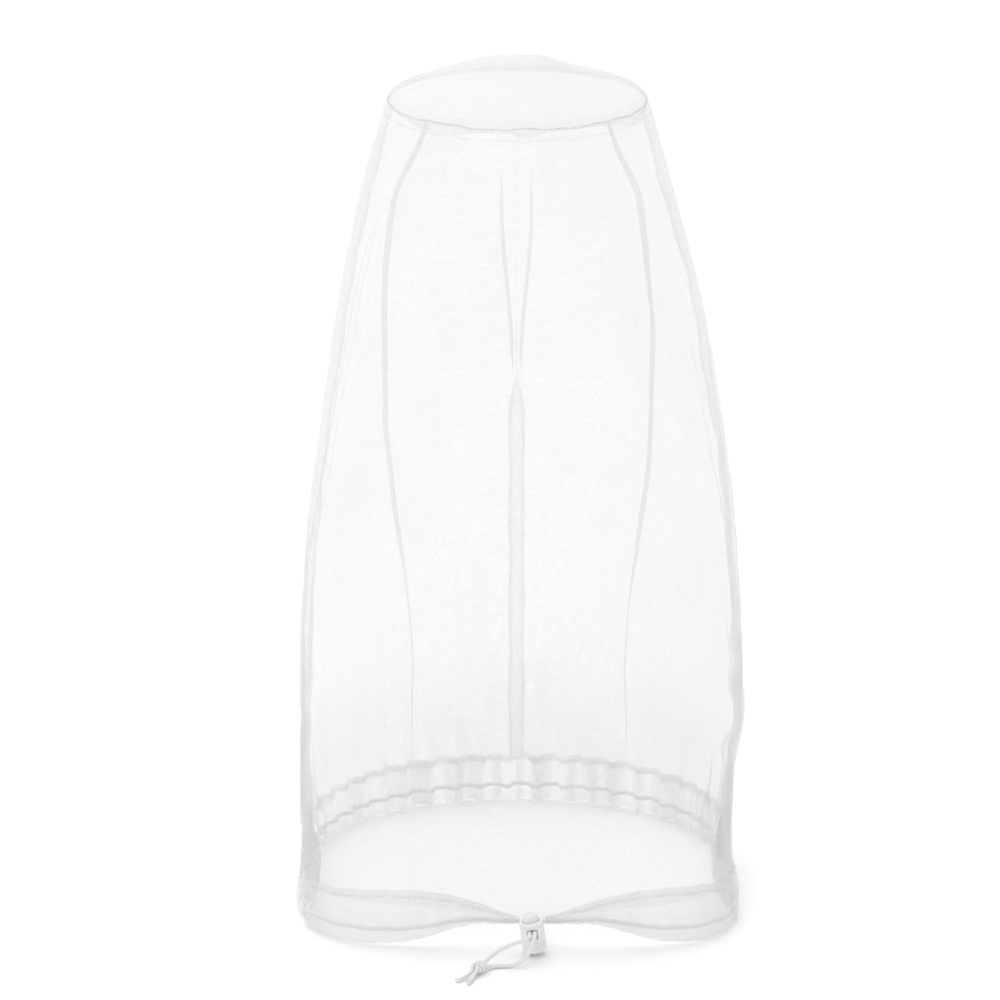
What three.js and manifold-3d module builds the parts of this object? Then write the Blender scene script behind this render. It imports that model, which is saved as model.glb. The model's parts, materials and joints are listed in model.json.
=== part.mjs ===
// A beekeeper's head veil: a bag of fine white netting with a domed crown, three body panels,
// covered seams, and a drawcord hem that closes round the neck with a spring cord lock.
// Millimetres, +Z up. The origin is on the floor under the middle of the veil, and the
// wearer faces -Y, so the cord lock stands at the front, on the -Y side.
import * as THREE from "three";
import { mergeVertices } from "three/addons/utils/BufferGeometryUtils.js";
import Module from "manifold-3d";

const wasm = await Module();
wasm.setup();

// ---- Sizes of the veil ----
const crownHeight = 445; // floor to the crown seam
const crownRadius = 71;
const domeRise = 24; // crown seam to the top of the crown
const domePower = 1.7; // how pointed the crown is: 2 is a plain dome
const bellyHeight = 115; // height of the widest place
const bellyRadius = 123;
const hemTuck = 3; // how much the hem is drawn in from the widest place
const shoulderPower = 1.85; // how long the body stays wide before it narrows to the crown
const frontSquareness = 3.6; // superellipse power of the hem's front half: 2 is round
const backSquareness = 2.1;
const netThickness = 0.8;
const seamGap = 0.3; // between pieces that are sewn together

// ---- Seams and hem ----
const seamTapeWidth = 8;
const seamTapeThickness = 0.9;
const crownPipingRadius = 1.8;
const casingHeight = 27;
const casingRoom = 0.5; // between the drawcord and the channel's wall
const casingFoot = 1.6; // flat width of the folded edges
const casingShoulder = 6; // height of the sloping part next to each folded edge
const casingWall = 0.8;
const casingFold = 1.6; // thickness of the folded edges at the top and the bottom
const casingOffset = -0.4; // middle of the channel, out from the net's face

// ---- Drawcord and the mouth that it leaves the hem by ----
const cordRadius = 1.2;
const cordGap = 0.3; // between the two cords where they lie side by side
const cordInset = 1; // how far inside its casing the held cord meets its free tail
const mouthX = 8; // sideways place of the mouth
const mouthHalfWidth = 7;
const mouthSqueeze = 0.33; // height of the casing at the mouth, as a share of its full height
const squeezeWidth = 42; // how far the squeeze reaches to each side
const squeezeFade = 120; // how far it reaches up the net above the hem

// ---- Cord lock ----
const barrelRadius = 6.6;
const barrelHeight = 17.3;
const barrelFloor = 1.8;
const barrelEdge = 0.8; // chamfer of the barrel's two outer edges
const boreRadius = 4.5;
const holeHeight = 5.6; // of the barrel's cross hole
const holeBottom = 8.2;
const holeCorner = 1.2;
const cordClearance = 0.3;
const plungerClearance = 0.3;
const buttonRise = 3.8; // how far the button stands out of the barrel
const buttonDome = 0.9;
const buttonTravel = 3;
const plungerFoot = 3.2; // material under the plunger's slot
const springWire = 0.5;
const springTurns = 3;
const lockLean = THREE.MathUtils.degToRad(-8); // the lock leans to the wearer's right
const lockFloorGap = 1;
const lockBehind = 6; // room behind the lock in which the cords turn forward

// ---- Mesh fineness ----
const columnAngle = THREE.MathUtils.degToRad(6);
const netRows = 10;
const tapeColumns = 2;
const domeSteps = 6;
const domeSides = 36;
const tailSteps = 30;
const knotSides = 12;
const knotEndSteps = 6;
const buttonSteps = 3;
const lockSides = 32;
const springSides = 6;
const springStepsPerTurn = 12;
const cordSides = 8;

const quarterTurn = Math.PI / 2;
const hemRadius = bellyRadius - hemTuck;
const mouthAngle = Math.asin(mouthX / hemRadius);
const mouthHalfAngle = mouthHalfWidth / hemRadius;
const cordHeight = holeBottom + holeHeight - cordClearance - cordRadius; // above the lock's base
const lockAxis = new THREE.Vector3(Math.sin(lockLean), 0, Math.cos(lockLean));
const lockAcross = new THREE.Vector3(Math.cos(lockLean), 0, -Math.sin(lockLean));
const mouthHeight = lockFloorGap + barrelRadius * Math.abs(lockAxis.x) + cordHeight * lockAxis.z;

// ---- Materials ----
const netting = new THREE.MeshStandardMaterial({ color: 0xf4f4f2, roughness: 0.85, metalness: 0 });
const tape = new THREE.MeshStandardMaterial({ color: 0xeeeeec, roughness: 0.8, metalness: 0 });
const hemCloth = new THREE.MeshStandardMaterial({ color: 0xf0f0ee, roughness: 0.8, metalness: 0 });
const cordBraid = new THREE.MeshStandardMaterial({ color: 0xe8e8e6, roughness: 0.7, metalness: 0 });
const lockPlastic = new THREE.MeshStandardMaterial({ color: 0xdededc, roughness: 0.4, metalness: 0 });
const springSteel = new THREE.MeshStandardMaterial({ color: 0xc8c8cc, roughness: 0.3, metalness: 1 });

const veil = new THREE.Group();

function addPiece(name, geometry, material, parent = veil) {
  const mesh = new THREE.Mesh(geometry, material);
  mesh.name = name;
  parent.add(mesh);
  return mesh;
}

// ---- The surface that the netting lies on ----

// Radius of the net's outer face across the width of the veil, at a height.
function bodyRadius(height) {
  if (height < bellyHeight) {
    const below = (bellyHeight - height) / bellyHeight;
    return bellyRadius - hemTuck * below ** 2;
  }
  const above = Math.min(1, (height - bellyHeight) / (crownHeight - bellyHeight));
  return bellyRadius - (bellyRadius - crownRadius) * above ** shoulderPower;
}

// How the outline in plan differs from a circle in one direction. It is round at the crown
// and grows squarer towards the hem, most of all at the front.
function outlineFactor(angle, height) {
  const front = Math.cos(angle);
  const across = Math.abs(Math.sin(angle));
  const low = 1 - Math.min(1, height / crownHeight);
  const power = 2 + ((front > 0 ? frontSquareness : backSquareness) - 2) * low;
  return 1 / (across ** power + Math.abs(front) ** power) ** (1 / power);
}

// The hem is squeezed to a narrow mouth, level with the lock's hole, where its cords come out.
function squeezedHeight(angle, height) {
  const turn = Math.atan2(Math.sin(angle - mouthAngle), Math.cos(angle - mouthAngle));
  const away = (turn * hemRadius) / squeezeWidth;
  const share = Math.exp(-away * away) * (1 - mouthSqueeze);
  if (height <= casingHeight) return height + (mouthHeight - height) * share;
  const up = Math.min(1, (height - casingHeight) / squeezeFade);
  return height + (mouthHeight - casingHeight) * share * (1 - up) ** 2 * (1 + 2 * up);
}

// A point of the veil: angle from the front centre (positive to +X), height, and how far
// out from the net's outer face.
function veilPoint(angle, height, offset) {
  const radius = bodyRadius(height) * outlineFactor(angle, height) + offset;
  return new THREE.Vector3(
    radius * Math.sin(angle),
    -radius * Math.cos(angle),
    squeezedHeight(angle, height),
  );
}

// The angles of a piece's columns: its two ends, and between them the steps of one grid that
// all the pieces round the veil share.
function columnAngles(from, to) {
  const angles = [from];
  for (let step = Math.ceil(from / columnAngle); step * columnAngle < to; step++) {
    const angle = step * columnAngle;
    if (angle - from > columnAngle / 3 && to - angle > columnAngle / 3) angles.push(angle);
  }
  return [...angles, to];
}

// Wraps a flat geometry round the veil: its x is a column's number, its y a height and its z
// an offset.
function wrap(geometry, angles) {
  const position = geometry.getAttribute("position");
  for (let i = 0; i < position.count; i++) {
    const angle = angles[Math.round(position.getX(i))];
    const p = veilPoint(angle, position.getY(i), position.getZ(i));
    position.setXYZ(i, p.x, p.y, p.z);
  }
  geometry.computeVertexNormals();
  return geometry;
}

// ---- Net panels ----

const panelBottom = casingHeight + seamGap;
const panelTop = crownHeight - crownPipingRadius - seamGap;
const panelEdge = seamGap / 2 / crownRadius; // half of the gap at a seam, as an angle

function netPanel(from, to) {
  const angles = columnAngles(from + panelEdge, to - panelEdge);
  const columns = angles.length - 1;
  const height = panelTop - panelBottom;
  const flat = new THREE.BoxGeometry(columns, height, netThickness, columns, netRows, 1);
  flat.translate(columns / 2, panelBottom + height / 2, -netThickness / 2);
  return wrap(flat, angles);
}

addPiece("front_panel", netPanel(-quarterTurn, quarterTurn), netting);
addPiece("back_panel_right", netPanel(quarterTurn, 2 * quarterTurn), netting);
addPiece("back_panel_left", netPanel(-2 * quarterTurn, -quarterTurn), netting);

// The crown is a shallow dome that starts on top of the piping.
const domeBase = crownHeight + crownPipingRadius + seamGap;

function crownPanel() {
  const rise = crownHeight + domeRise - domeBase;
  const domeHeight = (radius) => domeBase + rise * (1 - (radius / crownRadius) ** domePower);
  const outer = [];
  for (let i = 0; i <= domeSteps; i++) {
    const radius = (crownRadius * (domeSteps - i)) / domeSteps;
    outer.push(new THREE.Vector2(radius, domeHeight(radius)));
  }
  const innerShare = (crownRadius - netThickness) / crownRadius;
  const inner = outer.map((p) => new THREE.Vector2(p.x * innerShare, p.y - netThickness)).reverse();
  inner[inner.length - 1].y = domeBase;
  return new THREE.LatheGeometry([...inner, ...outer], domeSides).rotateX(quarterTurn);
}

addPiece("crown_panel", crownPanel(), netting);

// ---- Seams ----

// Piping sewn between the crown and the body.
function crownPiping() {
  const ring = new THREE.TorusGeometry(
    crownRadius - netThickness / 2, crownPipingRadius, cordSides, domeSides);
  return ring.translate(0, 0, crownHeight);
}

addPiece("crown_piping", crownPiping(), tape);

// A tape that covers the raw edges of a seam on the inside.
function seamTape(angle) {
  const height = panelTop - panelBottom;
  const flat = new THREE.BoxGeometry(seamTapeWidth, height, seamTapeThickness, tapeColumns, netRows, 1);
  flat.translate(0, panelBottom + height / 2, -netThickness - seamGap - seamTapeThickness / 2);
  const position = flat.getAttribute("position");
  for (let i = 0; i < position.count; i++) {
    const across = position.getX(i) / bodyRadius(position.getY(i));
    const p = veilPoint(angle + across, position.getY(i), position.getZ(i));
    position.setXYZ(i, p.x, p.y, p.z);
  }
  flat.computeVertexNormals();
  return flat;
}

addPiece("side_seam_tape_right", seamTape(quarterTurn), tape);
addPiece("side_seam_tape_left", seamTape(-quarterTurn), tape);
addPiece("back_seam_tape", seamTape(2 * quarterTurn), tape);

// ---- Hem casing: a hollow channel of folded cloth, open at its ends ----

// Half of the channel's outline, bottom to top, from its middle line outwards.
function casingOutline(inset, fold) {
  const depth = cordRadius + casingRoom + casingWall - inset;
  const foot = Math.max(casingFoot / 2 - inset / 2, 0.3);
  return [
    [foot, fold],
    [depth, casingShoulder],
    [depth, casingHeight - casingShoulder],
    [foot, casingHeight - fold],
  ];
}

function closedPath(half, path) {
  const mirrored = half.map(([x, y]) => [-x, y]).reverse();
  [...half, ...mirrored].forEach(([x, y], i) => (i ? path.lineTo(x, y) : path.moveTo(x, y)));
  path.closePath();
  return path;
}

function hemCasing(from, to) {
  const section = closedPath(casingOutline(0, 0), new THREE.Shape());
  section.holes.push(closedPath(casingOutline(casingWall, casingFold), new THREE.Path()));
  const angles = columnAngles(from, to);
  const columns = angles.length - 1;
  const channel = new THREE.ExtrudeGeometry(section, {
    depth: columns,
    steps: columns,
    bevelEnabled: false,
  });
  channel.rotateY(quarterTurn);
  channel.translate(0, 0, casingOffset);
  return wrap(channel, angles);
}

const casingEdge = seamGap / hemRadius / 2;
const mouthRight = mouthAngle + mouthHalfAngle;
const mouthLeft = mouthAngle - mouthHalfAngle;

const casingEnds = {
  front_right: [mouthRight, quarterTurn - casingEdge],
  back_right: [quarterTurn + casingEdge, 2 * quarterTurn - casingEdge],
  back_left: [-2 * quarterTurn + casingEdge, -quarterTurn - casingEdge],
  front_left: [-quarterTurn + casingEdge, mouthLeft],
};
for (const [place, [from, to]] of Object.entries(casingEnds)) {
  addPiece(`hem_casing_${place}`, hemCasing(from, to), hemCloth);
}

// ---- Drawcord ----

const insetAngle = cordInset / hemRadius;

// The stretch that lies in the casings, all the way round the hem. It keeps its round section
// where the casings are squeezed.
function heldCord() {
  const angles = columnAngles(mouthRight + insetAngle, mouthLeft + 4 * quarterTurn - insetAngle);
  const columns = angles.length - 1;
  const cord = new THREE.CylinderGeometry(cordRadius, cordRadius, columns, cordSides, columns);
  cord.rotateZ(quarterTurn);
  cord.translate(columns / 2, 0, 0);
  const position = cord.getAttribute("position");
  for (let i = 0; i < position.count; i++) {
    const angle = angles[Math.round(position.getX(i))];
    const p = veilPoint(angle, casingHeight / 2, casingOffset + position.getZ(i));
    position.setXYZ(i, p.x, p.y, p.z + position.getY(i));
  }
  cord.computeVertexNormals();
  return cord;
}

addPiece("drawcord", heldCord(), cordBraid);

// ---- Where the lock stands ----

const cordSpacing = cordRadius + cordGap / 2; // half the distance between the two cords
const mouthMiddle = veilPoint(mouthAngle, casingHeight / 2, casingOffset);
const lockY = mouthMiddle.y - lockBehind - barrelRadius;
const holeMiddle = new THREE.Vector3(mouthMiddle.x, lockY, mouthHeight);

const lock = new THREE.Group();
lock.rotation.y = lockLean;
lock.position.copy(holeMiddle).addScaledVector(lockAxis, -cordHeight);
veil.add(lock);

// ---- Free tails: out of the mouth, through the lock, down to the floor and into one knot ----

// Routes from the middle of the lock's hole: x to the right, y to the back, z up. The cords
// lie straight and side by side in the lock and in front of it, where it slides.
const rightBehindLock = [[5.4, 12.6, 0], [3.2, 11.1, 0], [1.75, 8.9, 0]];
const leftBehindLock = [[-5.4, 12.6, 0], [-3.2, 11.1, 0], [-1.75, 8.9, 0]];
const straightDepths = [6, 2, -2, -6, -10, -12];
const rightInFront = [
  [0.9, -15, -0.9], [-0.3, -17.8, -3.6], [-2.4, -20, -7], [-5.6, -21.4, -10.2], [-9.8, -22.2, -12.3],
  [-14.4, -22.2, -12.7], [-18.8, -22.6, -12.7], [-22.4, -24.2, -12.2], [-24.6, -26.9, -11.6],
];
const leftInFront = [
  [-2.2, -14.8, 0], [-4.8, -16.6, -0.4], [-8.6, -17, -1.5], [-13, -16.8, -3.3], [-17.4, -16.8, -5.7],
  [-21.6, -17.8, -8.4], [-25, -20.2, -10.5], [-26.8, -23.2, -11.3], [-27.3, -25.9, -11.2],
];

function tailRoute(side, behindLock, inFront) {
  const hemPoint = (inset) => veilPoint(
    mouthAngle + side * (mouthHalfAngle + inset / hemRadius), casingHeight / 2, casingOffset);
  const fromHole = ([x, y, z]) => new THREE.Vector3(x, y, z).add(holeMiddle);
  const straight = straightDepths.map((depth) => {
    const point = holeMiddle.clone().addScaledVector(lockAcross, side * cordSpacing);
    return point.add(new THREE.Vector3(0, depth, 0));
  });
  const points = [
    hemPoint(cordInset - seamGap), hemPoint(0), ...behindLock.map(fromHole), ...straight,
    ...inFront.map(fromHole),
  ];
  return new THREE.CatmullRomCurve3(points, false, "centripetal");
}

function tube(curve, radius, sides, steps) {
  const section = new THREE.Shape().absarc(0, 0, radius, 0, 2 * Math.PI);
  return new THREE.ExtrudeGeometry(section, { extrudePath: curve, steps, curveSegments: sides / 2 });
}

const rightTail = tailRoute(1, rightBehindLock, rightInFront);
const leftTail = tailRoute(-1, leftBehindLock, leftInFront);
addPiece("drawcord_tail_right", tube(rightTail, cordRadius, cordSides, tailSteps), cordBraid);
addPiece("drawcord_tail_left", tube(leftTail, cordRadius, cordSides, tailSteps), cordBraid);

// ---- Solids that need cuts and joins ----

function solidOf(geometry) {
  const bare = geometry.clone();
  bare.deleteAttribute("normal");
  bare.deleteAttribute("uv");
  const merged = mergeVertices(bare, 1e-4);
  return new wasm.Manifold(new wasm.Mesh({
    numProp: 3,
    vertProperties: new Float32Array(merged.getAttribute("position").array),
    triVerts: new Uint32Array(merged.index.array),
  }));
}

function geometryOf(solid) {
  const mesh = solid.getMesh();
  const geometry = new THREE.BufferGeometry();
  geometry.setAttribute("position", new THREE.BufferAttribute(new Float32Array(mesh.vertProperties), 3));
  geometry.setIndex(new THREE.BufferAttribute(new Uint32Array(mesh.triVerts), 1));
  geometry.computeVertexNormals();
  return geometry;
}

// A turned solid about the Z axis from its profile, listed from the bottom up.
function turned(profile, sides) {
  const points = profile.map(([radius, height]) => new THREE.Vector2(radius, height));
  return new THREE.LatheGeometry(points, sides).rotateX(quarterTurn);
}

// ---- Knot that stops the lock from coming off the tails ----

const knotLength = 11;
const knotRadius = 3.2;
const knotBend = 2; // in front of the knot, where its cut ends turn down
const knotEndLength = 13;
const knotEndSpread = 2;
const knotDirection = new THREE.Vector3(-0.5, -0.87, 0).normalize();
const knotAcross = new THREE.Vector3(-knotDirection.y, knotDirection.x, 0);

// The knot is one ball with the two cut ends of the cord lying in front of it.
function tailKnot() {
  const arrival = rightTail.getPoint(1).add(leftTail.getPoint(1)).multiplyScalar(0.5);
  const middle = arrival.addScaledVector(knotDirection, knotLength / 2);
  middle.z = knotRadius + seamGap;
  const ball = new THREE.SphereGeometry(1, knotSides, cordSides);
  ball.scale(knotLength / 2, knotRadius, knotRadius);
  ball.rotateZ(Math.atan2(knotDirection.y, knotDirection.x));
  ball.translate(middle.x, middle.y, middle.z);
  let knot = solidOf(ball);
  for (const side of [-1, 1]) {
    const root = middle.clone().addScaledVector(knotAcross, side * cordSpacing);
    const bend = root.clone().addScaledVector(knotDirection, knotLength / 2 + knotBend);
    const end = root.clone().addScaledVector(knotDirection, knotLength / 2 + knotEndLength);
    end.addScaledVector(knotAcross, side * knotEndSpread);
    bend.z = 2 * cordRadius;
    end.z = cordRadius + cordClearance;
    const stub = new THREE.CatmullRomCurve3([root, bend, end]);
    knot = knot.add(solidOf(tube(stub, cordRadius, cordSides, knotEndSteps)));
  }
  return geometryOf(knot);
}

addPiece("tail_knot", tailKnot(), cordBraid);

// ---- Cord lock ----

// A slot along Y with rounded corners, through the whole lock.
function crossHole(bottom, height) {
  const corner = holeCorner;
  const half = 2 * cordRadius + cordGap / 2 + cordClearance;
  const top = bottom + height;
  const outline = new THREE.Shape();
  outline.moveTo(-half + corner, bottom);
  outline.lineTo(half - corner, bottom);
  outline.quadraticCurveTo(half, bottom, half, bottom + corner);
  outline.lineTo(half, top - corner);
  outline.quadraticCurveTo(half, top, half - corner, top);
  outline.lineTo(-half + corner, top);
  outline.quadraticCurveTo(-half, top, -half, top - corner);
  outline.lineTo(-half, bottom + corner);
  outline.quadraticCurveTo(-half, bottom, -half + corner, bottom);
  const length = 4 * barrelRadius;
  const slot = new THREE.ExtrudeGeometry(outline, { depth: length, bevelEnabled: false, curveSegments: 4 });
  return solidOf(slot.rotateX(quarterTurn).translate(0, length / 2, 0));
}

function lockBarrel() {
  const outside = turned([
    [0, 0],
    [barrelRadius - barrelEdge, 0],
    [barrelRadius, barrelEdge],
    [barrelRadius, barrelHeight - barrelEdge],
    [barrelRadius - barrelEdge, barrelHeight],
    [boreRadius, barrelHeight],
    [boreRadius, barrelFloor],
    [0, barrelFloor],
  ], lockSides);
  return geometryOf(solidOf(outside).subtract(crossHole(holeBottom, holeHeight)));
}

const slotBottom = cordHeight - cordRadius - cordClearance;
const slotHeight = 2 * (cordRadius + cordClearance) + buttonTravel;
const plungerBottom = slotBottom - plungerFoot;
const plungerTop = barrelHeight + buttonRise;
const plungerRadius = boreRadius - plungerClearance;

function lockPlunger() {
  const profile = [[0, plungerBottom], [plungerRadius, plungerBottom]];
  for (let i = 0; i <= buttonSteps; i++) {
    const angle = (quarterTurn * i) / buttonSteps;
    const sunk = buttonDome * (1 - Math.sin(angle));
    profile.push([i < buttonSteps ? plungerRadius * Math.cos(angle) : 0, plungerTop - sunk]);
  }
  const outside = turned(profile, lockSides);
  return geometryOf(solidOf(outside).subtract(crossHole(slotBottom, slotHeight)));
}

// The coil spring that pushes the plunger up.
class Helix extends THREE.Curve {
  constructor(radius, from, to, turns) {
    super();
    Object.assign(this, { radius, from, to, turns });
  }
  getPoint(t, target = new THREE.Vector3()) {
    const angle = 2 * Math.PI * this.turns * t;
    const height = this.from + (this.to - this.from) * t;
    return target.set(this.radius * Math.cos(angle), this.radius * Math.sin(angle), height);
  }
}

function lockSpring() {
  const seat = springWire / 2 + seamGap;
  const radius = plungerRadius - 2 * springWire;
  const coil = new Helix(radius, barrelFloor + seat, plungerBottom - seat, springTurns);
  return tube(coil, springWire / 2, springSides, Math.round(springTurns * springStepsPerTurn));
}

addPiece("lock_barrel", lockBarrel(), lockPlastic, lock);
addPiece("lock_plunger", lockPlunger(), lockPlastic, lock);
addPiece("lock_spring", lockSpring(), springSteel, lock);

export default veil;
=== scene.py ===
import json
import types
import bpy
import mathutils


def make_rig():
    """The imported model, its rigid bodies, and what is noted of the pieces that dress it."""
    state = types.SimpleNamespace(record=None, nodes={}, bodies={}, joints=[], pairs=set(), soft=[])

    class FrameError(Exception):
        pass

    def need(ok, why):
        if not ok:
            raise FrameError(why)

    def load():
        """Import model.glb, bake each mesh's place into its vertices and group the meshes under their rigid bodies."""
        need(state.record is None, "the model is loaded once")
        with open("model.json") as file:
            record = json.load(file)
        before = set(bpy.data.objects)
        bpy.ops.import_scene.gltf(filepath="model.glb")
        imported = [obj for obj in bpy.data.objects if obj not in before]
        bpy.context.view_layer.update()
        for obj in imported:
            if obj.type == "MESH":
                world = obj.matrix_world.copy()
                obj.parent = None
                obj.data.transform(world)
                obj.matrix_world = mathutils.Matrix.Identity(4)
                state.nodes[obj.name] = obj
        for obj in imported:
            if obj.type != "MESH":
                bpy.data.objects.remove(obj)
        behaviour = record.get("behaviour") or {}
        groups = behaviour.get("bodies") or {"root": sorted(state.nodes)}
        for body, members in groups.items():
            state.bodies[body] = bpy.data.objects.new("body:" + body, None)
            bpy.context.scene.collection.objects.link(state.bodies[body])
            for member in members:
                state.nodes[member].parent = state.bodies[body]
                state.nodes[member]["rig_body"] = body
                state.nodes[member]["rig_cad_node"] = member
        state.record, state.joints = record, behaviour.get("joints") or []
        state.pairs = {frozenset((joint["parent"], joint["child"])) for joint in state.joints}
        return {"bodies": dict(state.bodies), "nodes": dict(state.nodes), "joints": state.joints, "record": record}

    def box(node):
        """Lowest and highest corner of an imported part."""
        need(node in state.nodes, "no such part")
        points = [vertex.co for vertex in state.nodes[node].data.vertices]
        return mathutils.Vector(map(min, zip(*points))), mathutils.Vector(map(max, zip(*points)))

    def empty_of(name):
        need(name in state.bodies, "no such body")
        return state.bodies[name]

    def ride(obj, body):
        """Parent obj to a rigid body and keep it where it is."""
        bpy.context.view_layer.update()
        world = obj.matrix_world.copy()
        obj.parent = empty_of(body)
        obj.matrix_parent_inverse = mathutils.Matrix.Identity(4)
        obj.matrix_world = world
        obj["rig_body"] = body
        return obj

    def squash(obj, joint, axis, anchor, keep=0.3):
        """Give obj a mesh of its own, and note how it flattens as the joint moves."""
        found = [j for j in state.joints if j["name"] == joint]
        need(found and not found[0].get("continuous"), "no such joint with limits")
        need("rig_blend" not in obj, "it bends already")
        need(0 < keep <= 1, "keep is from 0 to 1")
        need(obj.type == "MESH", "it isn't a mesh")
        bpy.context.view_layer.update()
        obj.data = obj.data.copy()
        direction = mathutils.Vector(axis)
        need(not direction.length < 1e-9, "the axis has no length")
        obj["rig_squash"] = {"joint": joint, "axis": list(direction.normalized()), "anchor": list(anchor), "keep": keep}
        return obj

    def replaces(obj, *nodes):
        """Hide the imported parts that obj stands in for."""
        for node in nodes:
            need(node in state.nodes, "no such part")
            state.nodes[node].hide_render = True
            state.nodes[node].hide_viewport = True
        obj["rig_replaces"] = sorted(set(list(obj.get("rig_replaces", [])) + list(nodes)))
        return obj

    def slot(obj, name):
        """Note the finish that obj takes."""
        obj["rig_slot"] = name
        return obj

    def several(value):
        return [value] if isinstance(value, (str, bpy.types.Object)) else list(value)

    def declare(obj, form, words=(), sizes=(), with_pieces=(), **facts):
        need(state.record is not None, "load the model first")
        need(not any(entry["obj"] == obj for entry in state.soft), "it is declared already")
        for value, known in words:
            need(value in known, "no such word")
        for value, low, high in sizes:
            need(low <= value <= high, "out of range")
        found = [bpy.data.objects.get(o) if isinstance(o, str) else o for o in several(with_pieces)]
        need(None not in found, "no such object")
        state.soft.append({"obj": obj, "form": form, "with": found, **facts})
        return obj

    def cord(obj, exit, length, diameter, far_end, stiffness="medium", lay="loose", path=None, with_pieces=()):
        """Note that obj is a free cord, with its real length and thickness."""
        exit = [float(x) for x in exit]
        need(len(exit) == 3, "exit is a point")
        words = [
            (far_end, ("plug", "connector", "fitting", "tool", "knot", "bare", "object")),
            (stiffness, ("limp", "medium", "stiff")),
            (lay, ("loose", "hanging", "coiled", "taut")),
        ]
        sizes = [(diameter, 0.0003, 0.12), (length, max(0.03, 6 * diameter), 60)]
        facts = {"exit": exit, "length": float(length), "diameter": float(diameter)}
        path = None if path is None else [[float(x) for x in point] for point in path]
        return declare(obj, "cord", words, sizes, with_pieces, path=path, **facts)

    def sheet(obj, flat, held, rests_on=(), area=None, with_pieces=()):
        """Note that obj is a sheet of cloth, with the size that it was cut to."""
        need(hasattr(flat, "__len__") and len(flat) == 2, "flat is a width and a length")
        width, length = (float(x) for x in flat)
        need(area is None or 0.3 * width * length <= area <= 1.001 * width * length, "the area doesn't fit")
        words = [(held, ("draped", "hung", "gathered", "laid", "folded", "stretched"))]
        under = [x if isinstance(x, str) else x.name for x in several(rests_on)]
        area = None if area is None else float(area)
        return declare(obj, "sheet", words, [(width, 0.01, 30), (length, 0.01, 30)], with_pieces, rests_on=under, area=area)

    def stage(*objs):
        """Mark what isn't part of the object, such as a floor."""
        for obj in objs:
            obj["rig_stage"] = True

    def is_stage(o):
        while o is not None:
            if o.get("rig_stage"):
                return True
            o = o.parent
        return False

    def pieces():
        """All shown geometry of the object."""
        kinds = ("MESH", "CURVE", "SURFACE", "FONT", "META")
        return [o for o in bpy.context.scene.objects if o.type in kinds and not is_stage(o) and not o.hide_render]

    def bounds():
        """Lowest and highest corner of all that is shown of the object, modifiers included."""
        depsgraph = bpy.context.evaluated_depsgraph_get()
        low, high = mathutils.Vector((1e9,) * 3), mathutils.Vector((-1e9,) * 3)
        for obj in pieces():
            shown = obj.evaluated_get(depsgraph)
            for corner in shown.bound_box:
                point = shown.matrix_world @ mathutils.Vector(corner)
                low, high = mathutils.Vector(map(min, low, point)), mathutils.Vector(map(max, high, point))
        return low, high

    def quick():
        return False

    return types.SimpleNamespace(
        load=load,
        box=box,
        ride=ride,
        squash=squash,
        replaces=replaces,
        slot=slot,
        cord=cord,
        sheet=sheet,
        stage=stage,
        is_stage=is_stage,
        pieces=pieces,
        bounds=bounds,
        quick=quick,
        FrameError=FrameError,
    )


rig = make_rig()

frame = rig.load()

# Looks of a beekeeper's head veil: sheer net panels, covered seams, a gathered drawcord hem
# and a spring cord lock. Metres, +Z up, the wearer faces -Y. Angles round the veil start at
# the front centre and are positive to +X.
import json
from math import asin, atan2, cos, exp, hypot, pi, radians, sin, sqrt

import bmesh
import bpy
from mathutils import Vector, noise

cad_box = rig.bounds()

# ---- Sizes, the same as the frame's solids ----
piping_low, piping_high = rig.box("crown_piping")
barrel_low, barrel_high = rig.box("lock_barrel")
panel_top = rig.box("front_panel")[1].z
panel_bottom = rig.box("back_panel_left")[0].z
crown_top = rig.box("crown_panel")[1].z
crown_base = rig.box("crown_panel")[0].z
crown_height = (piping_low.z + piping_high.z) / 2
piping_radius = (piping_high.z - piping_low.z) / 2
net_half = 0.0004
crown_radius = piping_high.x - piping_radius + net_half

belly_height = 0.115
belly_radius = 0.123
hem_tuck = 0.003
shoulder_power = 1.85
front_squareness = 3.6
back_squareness = 2.1
dome_power = 1.42  # this one is lower than the frame's, so the dome is more pointed
casing_height = 0.027
casing_offset = -0.0004
cord_radius = 0.0012
cord_spacing = 0.00135  # half the distance between the two cords in the lock
mouth_squeeze = 0.33
squeeze_width = 0.042
squeeze_fade = 0.12
hem_radius = belly_radius - hem_tuck
mouth_angle = asin(0.008 / hem_radius)
mouth_half_angle = 0.007 / hem_radius

lock_lean = radians(-8)
lock_axis = Vector((sin(lock_lean), 0, cos(lock_lean)))
lock_across = Vector((cos(lock_lean), 0, -sin(lock_lean)))
barrel_radius = 0.0066
barrel_height = 0.0173
cord_height = 0.0123  # of the cords above the lock's base
lock_base = (barrel_low + barrel_high) / 2 - lock_axis * (barrel_height / 2)
hole_middle = lock_base + lock_axis * cord_height
mouth_height = hole_middle.z

mouth_right = mouth_angle + mouth_half_angle
mouth_left = mouth_angle - mouth_half_angle

quarter = pi / 2


# ---- Small helpers ----

def link(obj):
    bpy.context.scene.collection.objects.link(obj)
    return obj


def mix(a, b, share):
    return a + (b - a) * share


def smooth(low, high, x):
    share = min(1.0, max(0.0, (x - low) / (high - low)))
    return share * share * (3 - 2 * share)


def hump(x, width):
    return exp(-((x / width) ** 2))


def step_angle(step, count):
    """The angle of one of the steps round a circle, whose last step is the first again."""
    return 2 * pi * (step % count) / count


def turn(a, b):
    """The angle from b to a, the short way round."""
    return atan2(sin(a - b), cos(a - b))


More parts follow.
